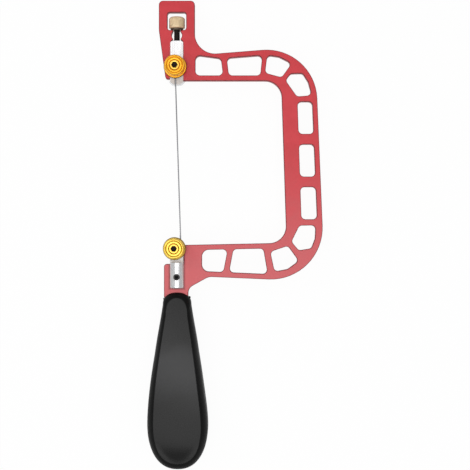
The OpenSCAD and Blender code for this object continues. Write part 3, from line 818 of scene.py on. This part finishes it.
@dataclass
class FramePlate:
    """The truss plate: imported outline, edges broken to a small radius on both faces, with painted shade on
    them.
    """

    edge_r: float = 0.42
    edge_steps: int = 5
    edge_shade_rise: float = 2.5
    support: float = 0.1
    mitre_least: float = 0.4
    wall_from: float = 1.1
    wall_shade: float = 0.5
    seat_x: tuple[float, float] = (-32.0, -31.0)
    seat_y: tuple[float, float] = (-19.0, -6.0)
    seat_shift: float = -0.72
    face_gap: float = 0.01
    decimals: int = 4
    node: str = "frame_plate"

    def outline(self) -> tuple[np.ndarray, np.ndarray, np.ndarray, np.ndarray]:
        """Reads the plate's front face from its solid.

        The edges that only one triangle of the face uses run round the outline and the cells, with the metal
        on their left. The short edge beside the post is moved up to it, as in the photograph.

        Returns:
            Points of the face, its triangles, and the point after and before each point along the edge.
        """
        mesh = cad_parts[self.node].data
        mesh.calc_loop_triangles()
        place = mesh_points(mesh)
        corners = np.empty(len(mesh.loop_triangles) * 3, np.int32)
        mesh.loop_triangles.foreach_get("vertices", corners)
        corners = corners.reshape(-1, 3)
        front = np.all(place[corners][:, :, 2] > place[:, 2].max() - self.face_gap, axis=1)
        flat, same = np.unique(np.round(place[:, :2], self.decimals), axis=0, return_inverse=True)
        used, face = np.unique(same.reshape(-1)[corners[front]], return_inverse=True)
        flat, face = flat[used], face.reshape(-1, 3)
        edges = np.concatenate([face[:, [0, 1]], face[:, [1, 2]], face[:, [2, 0]]])
        count = len(flat)
        rim = edges[~np.isin(edges[:, 0] * count + edges[:, 1], edges[:, 1] * count + edges[:, 0])]
        after, before = np.arange(count), np.arange(count)
        after[rim[:, 0]] = rim[:, 1]
        before[rim[:, 1]] = rim[:, 0]
        low, high = np.array([self.seat_x, self.seat_y]).T
        flat[np.all((flat > low) & (flat < high), axis=1), 0] += self.seat_shift
        return flat, face, after, before

    def edge_profile(self) -> tuple[np.ndarray, np.ndarray]:
        """Inset and height of the edge: a quarter round at the front, the wall, and one more at the back.

        Returns:
            Insets from the outline, and heights, from the front face to the back one.
        """
        low, high = node_box(self.node)
        angle = np.linspace(0.0, TURN / 4, self.edge_steps + 1)
        inset = np.concatenate([[self.edge_r + self.support], self.edge_r * (1 - np.sin(angle)), [0.0]])
        drop = np.concatenate([[0.0], self.edge_r * (1 - np.cos(angle)), [self.wall_from]])
        return np.concatenate([inset, inset[::-1]]), np.concatenate([high[2] - drop, low[2] + drop[::-1]])

    def edge_shade(self, inset: np.ndarray, depth: np.ndarray) -> np.ndarray:
        """Painted shade by row of the edge: it grows over the round as the inset falls, and is even on the
        wall.

        Args:
            inset: Insets from the outline.
            depth: Heights of the same rows.

        Returns:
            One painted shade for each row.
        """
        tone = np.clip((self.edge_r - inset) / self.edge_r * self.edge_shade_rise, 0.0, 1.0)
        in_wall = np.minimum(depth.max() - depth, depth - depth.min()) > 2 * self.edge_r
        return np.where(in_wall, self.wall_shade, tone)

    def build(self) -> bpy.types.Object:
        """Carries the edge profile round every loop and closes both faces with the solid's own triangles.

        Returns:
            The finished plate.
        """
        flat, face, after, before = self.outline()
        inset, depth = self.edge_profile()

        def outward(start: np.ndarray, stop: np.ndarray) -> np.ndarray:
            """Unit normals on the right of edges.

            Args:
                start: Where each edge starts.
                stop: Where it stops.

            Returns:
                One normal for each edge.
            """
            along = stop - start
            length = np.maximum(np.linalg.norm(along, axis=1, keepdims=True), 1e-9)
            return along[:, ::-1] * (1.0, -1.0) / length

        first, second = outward(flat[before], flat), outward(flat, flat[after])
        squared = np.maximum(1 + np.sum(first * second, axis=1, keepdims=True), self.mitre_least)
        rings = flat[None] - ((first + second) / squared)[None] * inset[:, None, None]
        heights = np.broadcast_to(depth[:, None, None], (len(depth), len(flat), 1))
        points = np.concatenate([rings, heights], axis=2).reshape(-1, 3)
        count = len(flat)
        edge = np.flatnonzero(after != np.arange(count))
        level = (np.arange(len(depth) - 1) * count)[:, None]
        here, there = level + edge, level + after[edge]
        quads = np.stack([here, here + count, there + count, there], axis=-1).reshape(-1, 4)
        triangles = np.concatenate([face, face[:, ::-1] + (len(depth) - 1) * count])
        # Painted shade on the rounded edges and walls, for their dark outline.
        tone = np.repeat(self.edge_shade(inset, depth), count)
        piece = Surface(points, quads, triangles, tone).build("plate")
        smooth = np.ones(len(piece.data.polygons), bool)
        smooth[-2 * len(face):] = False
        piece.data.polygons.foreach_set("use_smooth", smooth)
        return settle(piece, PLATE_RED, "frame", self.node)


@dataclass
class Grip:
    """The moulded handle: a crowned panel on each face, inside a border that bends down to an upright wall.

    Heights are over the butt. The lean of the whole handle is to the right.
    """

    wide_at: float = 29.2
    fat_at: float = 42.0
    neck_at: float = 105.6
    neck_half_w: float = 8.75
    neck_half_t: float = 7.5
    neck_fuller: float = 0.33
    neck_rise: tuple[float, float] = (70.0, 88.0)
    flare_w: float = 1.0
    flare_t: float = 2.0
    waist: float = 0.6
    waist_at: float = 50.0
    waist_reach: float = 20.0
    arch: float = 7.0
    dome_power: float = 2.3
    butt_power: float = 2.25
    lean_all: float = 0.13
    lean_butt: float = 0.52
    lean_rise: tuple[float, float] = (58.0, 25.0)
    crown: float = 0.7
    lip: float = 1.0
    lip_reach: float = 18.0
    lip_from: float = 0.76
    lip_power: float = 2.5
    border_wide: float = 4.2
    border_neck: float = 3.3
    border_tilt_deg: float = 32.0
    border_drop: float = 0.8
    nibs: tuple[tuple[float, float], ...] = ((-8.2, 109.0), (7.9, 110.0))
    nib_r: float = 0.8
    nib_points: tuple[int, int] = (13, 24)
    end_points: int = 49
    side_points: int = 90
    panel_points: tuple[int, int] = (12, 14)
    panel_stops: tuple[float, float] = (0.74, 0.985)
    bend_steps: int = 4
    border_steps: int = 13
    wall_rows: int = 4
    node: str = "handle"

    def swell(self, z: np.ndarray, full_at: float, full: float, end: float, flare: float) -> np.ndarray:
        """Half size at a height: an ellipse below the fullest place, and a cubic ease above it, to the neck.

        Args:
            z: Heights.
            full_at: Height of the fullest place.
            full: Half size there.
            end: Half size at the neck.
            flare: How steeply the ease still falls at the neck, and past it.

        Returns:
            Half size at each height.
        """
        below = full * np.sqrt(np.maximum(1 - ((full_at - z) / full_at) ** 2, 0.0))
        way = (z - full_at) / (self.neck_at - full_at)
        u = np.clip(way, 0.0, 1.0)
        ease = 2 * u**3 - 3 * u**2 + 1 - flare * (u**3 - u**2 + np.maximum(way - 1, 0.0))
        return np.where(z < full_at, below, end + (full - end) * ease)

    def side(self, z: np.ndarray, half_w: float) -> np.ndarray:
        """Half width above the widest place: the ease, less a shallow bell, plus a smooth step to the neck.

        Args:
            z: Heights.
            half_w: Half of the handle's greatest width.

        Returns:
            Half width at each height.
        """
        ease = self.swell(z, self.wide_at, half_w, self.neck_half_w, self.flare_w)
        bell = np.exp(-(((z - self.waist_at) / self.waist_reach) ** 2))
        return ease - self.waist * bell + self.neck_fuller * smooth_step(z, *self.neck_rise)

    def line(self, half_w: float, border: Sequence[float], end_at: float, top: float) -> np.ndarray:
        """Right-hand line from the butt to the dome, inside the outline by a border.

        It has three parts: at the butt and at the dome a quarter of a curve that is squarer than an ellipse,
        and the side between them.

        Args:
            half_w: Half of the handle's greatest width.
            border: Width of the border where the handle is widest, and at the neck.
            end_at: Height where the dome's part starts.
            top: Height of the dome's top.

        Returns:
            Half width and height of each point.
        """
        angle = np.linspace(0.0, TURN / 4, self.end_points)
        way = np.linspace(0.0, 1.0, self.side_points)
        z = self.wide_at + (end_at - self.wide_at) * way
        x = self.side(z, half_w) - border[0] - (border[1] - border[0]) * way
        butt, dome = 2.0 / self.butt_power, 2.0 / self.dome_power
        butt_x = x[0] * np.sin(angle) ** butt
        butt_z = self.wide_at - (self.wide_at - border[0]) * np.cos(angle) ** butt
        dome_x = x[-1] * np.cos(angle) ** dome
        dome_z = end_at + (top - end_at) * np.sin(angle) ** dome
        across, along = np.concatenate([butt_x, x[1:-1], dome_x]), np.concatenate([butt_z, z[1:-1], dome_z])
        return np.stack([across, along], axis=1)

    def quarter(self) -> Surface:
        """One quarter of the skin: rows along the outline, columns from the middle line to the middle plane.

        On the panel the height falls with the square of the distance from the middle line, and near the butt
        it rises to a lip with a power of the share of the way to the panel's edge. On the border the way out
        follows the sine, and the drop the cosine, of an angle that runs from the tilt to a right angle. The
        wall under it is upright, and a short parabola rounds the crease.

        Returns:
            The quarter in front of the middle plane, to the right.
        """
        low, high = node_box(self.node)
        half_w, half_t, top = (high[0] - low[0]) / 2, (high[2] - low[2]) / 2, high[1] - low[1]
        arch_at = self.neck_at - self.arch
        outline = self.line(half_w, (0.0, 0.0), self.neck_at, top)
        panel = self.line(half_w, (self.border_wide, self.border_neck), arch_at, top - self.border_neck)

        def raised(share: np.ndarray) -> np.ndarray:
            """Places a share of the way from the middle line to the panel's edge, and their heights.

            Args:
                share: Shares of the way, as a column.

            Returns:
                A row for each point of the panel's edge and a column for each share.
            """
            spine = np.clip(panel[:, 1], self.wide_at, arch_at)
            middle = np.stack([np.zeros_like(spine), spine], axis=1)[:, None]
            place = middle + (panel[:, None] - middle) * share
            fall = self.crown * (place[..., :1] / panel[:, 0].max()) ** 2
            near_butt = np.clip(1 - place[..., 1:] / self.lip_reach, 0.0, 1.0)
            rise = np.clip((share - self.lip_from) / (1 - self.lip_from), 0.0, 1.0) ** self.lip_power
            lip = self.lip * rise * np.minimum(2 * near_butt, 1.0)
            height = self.swell(place[..., 1:], self.fat_at, half_t, self.neck_half_t, self.flare_t)
            return np.concatenate([place, height - fall + lip], axis=-1)

        starts = (0.0, self.lip_from)
        shares = [np.linspace(*part) for part in zip(starts, self.panel_stops, self.panel_points)]
        face = raised(np.concatenate(shares)[:, None])
        crease = raised(np.ones((1, 1)))

        tilt = math.radians(self.border_tilt_deg)
        angle = np.linspace(tilt, TURN / 4, self.border_steps + 1)[1:, None]
        out = (outline - panel)[:, None]
        spread = 1 - math.sin(tilt)
        drop = np.linalg.norm(out, axis=2, keepdims=True) * math.cos(tilt) / spread
        drop = np.minimum(drop, crease[..., 2:] * self.border_drop)
        way = out * (np.sin(angle) - math.sin(tilt)) / spread
        border = crease + np.concatenate([way, drop * (np.cos(angle) / math.cos(tilt) - 1)], axis=2)
        wall = np.repeat(border[:, -1:], self.wall_rows, axis=1)
        wall[..., 2] *= np.linspace(1.0, 0.0, self.wall_rows + 1)[1:]

        share = np.linspace(0.0, 1.0, self.bend_steps + 1)[1:-1, None]
        bend = parabola(face[:, -1:], crease, border[:, :1], share)
        skin = np.concatenate([face, bend, border, wall], axis=1)
        outside = np.ones(border.shape[1] + wall.shape[1])
        deep = np.concatenate([np.zeros(face.shape[1]), share[:, 0], outside])
        return Surface.grid(skin + ((low[0] + high[0]) / 2, low[1], (low[2] + high[2]) / 2), tone=deep)

    def nib(self, x: float, z: float) -> Surface:
        """A small lump that the mould left beside the plate: an ellipsoid, twice as tall as it is wide.

        Args:
            x: Its distance from the middle line, to the right.
            z: Its height.

        Returns:
            The lump, in the middle plane.
        """
        low, high = node_box(self.node)
        centre = np.array([(low[0] + high[0]) / 2 + x, low[1] + z, (low[2] + high[2]) / 2])
        angle = np.linspace(0.0, TURN / 2, self.nib_points[0])[:, None]
        radii = np.broadcast_to(self.nib_r * np.sin(angle), self.nib_points)
        return Surface.turned(radii, 2 * self.nib_r * np.cos(angle), centre, Axis.UP, 1.0)

    def leaned(self, surface: Surface) -> Surface:
        """Moves the points to the right, by a smooth step of the height that grows towards the butt.

        Args:
            surface: The upright handle.

        Returns:
            The same surface, leaned.
        """
        height = surface.points[:, 1] - node_box(self.node)[0][1]
        surface.points[:, 0] += self.lean_all + self.lean_butt * smooth_step(height, *self.lean_rise)
        return surface

    def build(self) -> bpy.types.Object:
        """Mirrors the quarter to the other side and to the back, adds the nibs and leans the whole.

        Returns:
            The finished handle.
        """
        low, high = node_box(self.node)
        front = self.quarter()
        front = front + front.mirrored(0, (low[0] + high[0]) / 2)
        whole = front + front.mirrored(2, (low[2] + high[2]) / 2)
        for x, z in self.nibs:
            whole = whole + self.nib(x, z)
        return settle(self.leaned(whole).build("grip", 50.0), GRIP_BLACK, "frame", self.node)


@dataclass
class TensionGear:
    """The screw, knurled nut and washer that draw the slide up."""

    pitch: float = 0.7
    thread_depth: float = 0.32
    steps_per_pitch: int = 8
    screw_sides: int = 40
    cone_h: float = 0.6
    cone_r: float = 0.5
    nut_play: float = 0.03
    nut_bevel: float = 0.9
    nut_rim: float = 1.3
    nut_fuller: float = 0.25
    nut_edge: float = 0.18
    bore_foot: float = 0.3
    bore_top: float = 0.4
    knurl: int = 36
    knurl_depth: float = 0.16
    knurl_rim: float = 0.5
    knurl_start: float = 0.2
    washer_bore: float = 2.1
    washer_edge: float = 0.25

    def screw(self) -> bpy.types.Object:
        """A rod whose radius dips in a helix.

        The dip is a rounded vee of the height over the pitch less the share of the turn, and the rod narrows
        in a short cone at each end.

        Returns:
            The finished screw.
        """
        rod = Turning("screw", "tension_screw", "tension_slide", SCREW_BLACK, Axis.ALONG)
        radius, length = rod.size()
        height = np.append(np.arange(0.0, length, self.pitch / self.steps_per_pitch), length)[:, None]
        share = np.mod(height / self.pitch - around(self.screw_sides) / TURN, 1.0)
        vee = np.clip(1.25 * (1 - np.abs(2 * share - 1)) - 0.1, 0.0, 1.0)
        cone = np.minimum(np.minimum(height, length - height) / self.cone_h, 1.0)
        radii = radius - self.thread_depth * vee * cone - self.cone_r * (1 - cone)
        ends = np.zeros((1, self.screw_sides))
        radii = np.concatenate([ends, radii, ends])
        height = np.concatenate([height[:1], height, height[-1:]])
        return rod.turn(radii, height, crease_deg=50.0)

    def nut(self) -> bpy.types.Object:
        """A ring with bevelled ends, a plain rim at its foot and straight flutes round the rest.

        The flutes follow the positive half of the cosine of the knurl's count times the angle.

        Returns:
            The finished nut.
        """
        ring = Turning("nut", "tension_nut", "tension_nut", NUT_BRASS, Axis.ALONG)
        screw_low, screw_high = node_box("tension_screw")
        bore = (screw_high[0] - screw_low[0]) / 2 + self.nut_play
        outer, tall = ring.size()
        outer += self.nut_fuller
        bevel = self.nut_bevel
        corners = [
            (bore, tall / 2), (bore, self.bore_foot), (bore + self.bore_foot, 0.0),
            (outer - bevel / 2, 0.0), (outer, bevel / 2), (outer, self.nut_rim), (outer, tall - bevel),
            (outer - bevel, tall), (bore + self.bore_top, tall), (bore, tall - self.bore_top),
            (bore, tall / 2),
        ]
        profile = rounded_profile(corners, self.nut_edge)
        at_rim = np.clip((profile[:, :1] - (outer - self.knurl_rim)) / self.knurl_rim, 0.0, 1.0)
        above = np.clip((profile[:, 1:] - self.nut_rim) / self.knurl_start, 0.0, 1.0)
        flutes = self.knurl_depth * np.maximum(np.cos(self.knurl * around(self.knurl * 8)), 0.0)
        return ring.turn(profile[:, :1] - at_rim * above * flutes, profile[:, 1:], crease_deg=40.0)

    def washer(self) -> bpy.types.Object:
        """The flat ring under the nut.

        Returns:
            The finished washer.
        """
        washer = FlatRing(
            "nut_washer", "tension_washer", "frame", WASHER_STEEL_SHADED, Axis.ALONG,
            self.washer_bore, self.washer_edge,
        )
        return washer.build()

    def build(self) -> list[bpy.types.Object]:
        """Makes the three pieces."""
        return [self.screw(), self.nut(), self.washer()]


@dataclass
class BareBars:
    """The tension slide and the lower post, which are the solids with broken edges, and the lock screw."""

    edge: float = 0.1
    segments: int = 2
    crease_deg: float = 35.0
    flat_deg: float = 0.5
    flat_gap: float = 0.05
    slide_half_w: float = 9.0
    post_half_w: float = 4.45
    post_trim: float = 2.0
    lock_r: float = 2.0
    lock_af: float = 2.0
    lock_depth: float = 1.1
    lock_brim: float = 0.2

    def shade(self, mesh: bpy.types.Mesh, node: str, end: End, half_w: float, trim: float) -> None:
        """Draws in a bar's sides and top, and paints shade on the flat that the blade lies on.

        A point further from the middle line than the half width, or above the trimmed top, moves back to it.
        The painted shade, for the knob's shadow, is one on the flat below the clamp's axis, and zero in the
        rest.

        Args:
            mesh: The bar's mesh.
            node: The solid that it is copied from.
            end: The clamp that it carries.
            half_w: Half of its greatest width.
            trim: How much shorter it is at its top.
        """
        low, high = node_box(node)
        middle = (low[0] + high[0]) / 2
        place = mesh_points(mesh)
        place[:, 0] = np.clip(place[:, 0], middle - half_w, middle + half_w)
        place[:, 1] = np.minimum(place[:, 1], high[1] - trim)
        mesh.vertices.foreach_set("co", (place * MM).reshape(-1))
        # Painted shade of the knob, warm with its reflected gold, on the flat below the clamp.
        clamp_at = sum(node_box(end.value + "_clamp_knob"))[1] / 2
        on_flat = np.abs(place[:, 2] - node_box("blade")[0][2]) < self.flat_gap
        mark_points(mesh, "tone", on_flat & (place[:, 1] < clamp_at))

    def bar(self, name: str, node: str, body: str, end: End, half_w: float, trim: float) -> bpy.types.Object:
        """Copies a bar's solid, merges its triangles and rounds its edges.

        Args:
            name: The piece's name.
            node: The solid that it is copied from and stands for.
            body: The body that it moves with.
            end: The clamp that it carries.
            half_w: Half of its greatest width.
            trim: How much shorter it is at its top.

        Returns:
            The finished bar.
        """
        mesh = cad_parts[node].data.copy()
        mesh.name = name
        work = bmesh.new()
        work.from_mesh(mesh)
        bmesh.ops.remove_doubles(work, verts=work.verts, dist=MERGE_MM * MM)
        bmesh.ops.dissolve_limit(
            work, angle_limit=math.radians(self.flat_deg), verts=list(work.verts), edges=list(work.edges)
        )
        work.to_mesh(mesh)
        work.free()
        self.shade(mesh, node, end, half_w, trim)
        crease = math.radians(self.crease_deg)
        mesh.set_sharp_from_angle(angle=crease)
        piece = add_object(name, mesh)
        bevel = piece.modifiers.new("broken_edges", "BEVEL")
        bevel.width, bevel.segments = self.edge * MM, self.segments
        bevel.limit_method, bevel.angle_limit = "ANGLE", crease
        bevel.use_clamp_overlap = False
        even = piece.modifiers.new("even_shading", "WEIGHTED_NORMAL")
        even.mode, even.weight, even.keep_sharp = "FACE_AREA", 100, True
        return settle(piece, BAR_BARE, body, node)

    def build(self) -> list[bpy.types.Object]:
        """Makes both bars and the lock screw.

        Returns:
            The three pieces.
        """
        lock = SocketScrew(
            "lock_screw", "lower_lock_screw", "frame", SCREW_BLACK, Axis.UP,
            self.lock_r, self.lock_af, self.lock_depth, brim=self.lock_brim,
        )
        return [
            self.bar("slide", "tension_slide", "tension_slide", End.UPPER, self.slide_half_w, 0.0),
            self.bar("post", "lower_clamp_post", "frame", End.LOWER, self.post_half_w, self.post_trim),
            lock.build(),
        ]


@dataclass
class BladeClamp:
    """One thumb clamp: a washer on the blade, a fluted knob with turned rings, and its socket screw."""

    end: End
    finish: Finish
    groove_shade: float
    edge_share: float
    edge_shade: float = 0.8
    collar_r: float = 4.5
    collar_h: float = 0.8
    rim: float = 0.75
    ring_out: float = 5.3
    ring_in: float = 4.85
    ring_cut: float = 0.6
    groove_slant: float = 0.2
    ring_slant: float = 0.25
    dish: float = 0.05
    mouth: float = 0.4
    mouth_edge: float = 0.1
    edge: float = 0.3
    head_bore: float = 3.13
    head_h: float = 4.0
    bore: float = 2.03
    shank_r: float = 2.0
    washer_bore: float = 2.1
    washer_edge: float = 0.45
    socket_af: float = 3.5
    socket_depth: float = 2.3
    flutes: int = 30
    flute_depth: float = 0.22
    flute_rim: float = 0.6

    def knob(self) -> bpy.types.Object:
        """The knob: a profile with a rounded rim, a groove and a raised ring, flutes cut into the rim,
        painted shade in the groove.

        The flutes follow the square of the positive half of the cosine of their count times the angle.

        Returns:
            The finished knob.
        """
        node = self.end.value + "_clamp_knob"
        body = Turning(self.end.value + "_knob", node, node, self.finish, Axis.UP)
        outer, tall = body.size()
        seat, dip, mouth = tall - self.head_h, tall - self.ring_cut, self.head_bore
        corners = [
            (self.bore, seat), (self.bore, 0.0), (self.collar_r, 0.0), (self.collar_r, self.collar_h),
            (outer - self.rim, self.collar_h), (outer, self.collar_h + self.rim), (outer, tall - self.rim),
            (outer - self.rim, tall), (self.ring_out, tall - self.dish),
            (self.ring_out - self.groove_slant, dip), (self.ring_in, dip),
            (self.ring_in - self.ring_slant, tall - 2 * self.dish),
            (mouth + self.mouth, tall - 3 * self.dish), (mouth + self.mouth_edge, dip),
            (mouth, dip - self.mouth_edge), (mouth, seat), (self.bore, seat),
        ]
        profile = rounded_profile(corners, self.edge)
        radius, height = profile[:, :1], profile[:, 1:]
        at_rim = np.clip((radius - (outer - self.flute_rim)) / self.flute_rim, 0.0, 1.0)
        flute = np.maximum(np.cos(self.flutes * around(self.flutes * 8)), 0.0) ** 2
        # Painted shade in the groove and down the mouth of the bore.
        sunk_shade = (height < tall - 0.5 * self.ring_cut) & (height > seat) & (radius < self.ring_out)
        return body.turn(radius - at_rim * self.flute_depth * flute, height, self.groove_shade * sunk_shade, 40.0)

    def build(self) -> list[bpy.types.Object]:
        """Makes the washer, the knob and the screw, which turns with the knob.

        Returns:
            The three pieces.
        """
        name, node = self.end.value, self.end.value + "_clamp_"
        washer = FlatRing(
            name + "_washer", node + "washer", node + "washer", self.finish, Axis.UP,
            self.washer_bore, self.washer_edge, self.edge_shade, self.edge_share,
        )
        screw = SocketScrew(
            name + "_socket_screw", node + "screw", node + "knob", SOCKET_GOLD, Axis.UP,
            self.shank_r, self.socket_af, self.socket_depth, self.head_h,
        )
        return [washer.build(), self.knob(), screw.build()]


# Studio


@dataclass(frozen=True)
class Panel:
    """A rectangle of light that faces the saw: its middle, its width and length, and its brightness."""

    name: str
    place: tuple[float, float, float]
    size: tuple[float, float]
    radiance: float

    def build(self) -> None:
        """Makes the lamp, turned to the middle of the saw and hidden from the camera."""
        lamp = bpy.data.lights.new(self.name, "AREA")
        lamp.shape = "RECTANGLE"
        lamp.size, lamp.size_y = self.size
        lamp.energy = self.radiance * math.pi * self.size[0] * self.size[1]
        panel = add_object(self.name, lamp)
        panel.location = self.place
        panel.rotation_euler = (-panel.location).to_track_quat("-Z", "Y").to_euler()
        panel.visible_camera = False


@dataclass
class Studio:
    """A white floor, a soft box overhead with a brighter strip, a lamp to the upper left, room and camera."""

    camera_at: tuple[float, float, float] = (0.00033, 0.0, 0.613)
    lens: float = 71.54
    panels: tuple[Panel, ...] = (
        Panel("soft_box", (-0.04, -0.21, 0.9), (0.9, 1.2), 1.5),
        Panel("strip", (-0.06, -0.1, 0.88), (0.6, 0.2), 1.1),
        Panel("lamp", (-0.75, 0.5, 0.75), (0.4, 0.4), 3.0),
    )
    floor_half: float = 6.0
    floor_share: float = 0.95
    floor_grey: float = 0.9
    room: tuple[tuple[float, float], ...] = ((0.0, 0.55), (0.2, 0.45), (0.6, 0.42), (0.85, 0.5))

    def seen(self, graph: Graph) -> Sock:
        """One for rays that come from the camera, from gloss or through glass, and zero for the rest.

        Args:
            graph: The floor's graph.

        Returns:
            That switch.
        """
        names = ("Is Camera Ray", "Is Glossy Ray", "Is Transmission Ray")
        camera, gloss, glass = (graph.add("ShaderNodeLightPath", {}, {}, name) for name in names)
        return camera.larger(gloss).larger(glass)

    def floor(self) -> None:
        """A flat sheet: mostly its own white where it is seen, and lit paint besides, for the shadow."""
        line = np.array([-1.0, 1.0]) * self.floor_half / MM
        x, y = np.meshgrid(line, line)
        sheet = Surface.grid(np.stack([x, y, np.zeros_like(x)], axis=-1)).build("floor")
        paper = bpy.data.materials.new("floor_paper")
        paper.use_nodes = True
        graph = Graph(paper.node_tree)
        lit = graph.add("ShaderNodeBsdfDiffuse", {}, {"Color": (*[self.floor_grey] * 3, 1.0)})
        white = graph.add("ShaderNodeEmission", {}, {"Color": (1.0, 1.0, 1.0, 1.0), "Strength": 1.0})
        share = self.seen(graph) * self.floor_share
        graph.close(graph.add("ShaderNodeMixShader", {}, {0: share, 1: lit, 2: white}))
        sheet.data.materials.append(paper)

    def room_light(self) -> None:
        """A dim room that is lighter low down, and white to the camera."""
        world = bpy.data.worlds.new("studio")
        bpy.context.scene.world = world
        world.use_nodes = True
        graph = Graph(world.node_tree)
        way = graph.add("ShaderNodeTexCoord", {}, {}, "Generated")
        stops = [(place, (level, level, level)) for place, level in self.room]
        room = graph.add("ShaderNodeValToRGB", {"stops": stops}, {0: graph.coordinate(way, "Z")}, "Color")
        camera = graph.add("ShaderNodeLightPath", {}, {}, "Is Camera Ray")
        colour = graph.blend(camera, room, (1.0, 1.0, 1.0))
        shine = graph.add("ShaderNodeBackground", {}, {"Color": colour, "Strength": 1.0})
        graph.close(shine, "ShaderNodeOutputWorld")

    def camera(self) -> None:
        """A long lens that looks straight down, with the head at the top of the picture."""
        lens = bpy.data.cameras.new("camera")
        lens.lens, lens.sensor_width = self.lens, 36.0
        lens.clip_start, lens.clip_end = 0.01, 50.0
        camera = add_object("camera", lens)
        camera.location = self.camera_at
        bpy.context.scene.camera = camera

    def build(self) -> None:
        """Sets up floor, light and camera."""
        self.floor()
        for panel in self.panels:
            panel.build()
        self.room_light()
        self.camera()
        bpy.context.scene.view_settings.view_transform = "Standard"


def main() -> None:
    """Builds the saw's sub-assemblies in order, reports each piece, and sets up the studio."""
    logging.basicConfig(level=logging.INFO, format="%(name)s: %(message)s")
    pieces = [
        FramePlate().build(),
        Grip().build(),
        *TensionGear().build(),
        *BareBars().build(),
        *BladeClamp(End.UPPER, CLAMP_GOLD_SHADED, groove_shade=0.15, edge_share=0.8).build(),
        *BladeClamp(End.LOWER, CLAMP_GOLD, groove_shade=0.5, edge_share=1.1).build(),
    ]
    for piece in pieces:
        log.info("%s: %d points, %d faces", piece.name, len(piece.data.vertices), len(piece.data.polygons))
    BLADE_GREY.dress_solid("blade")
    log.info("blade: the packed solid, dressed")
    Studio().build()


if __name__ == "__main__":
    main()
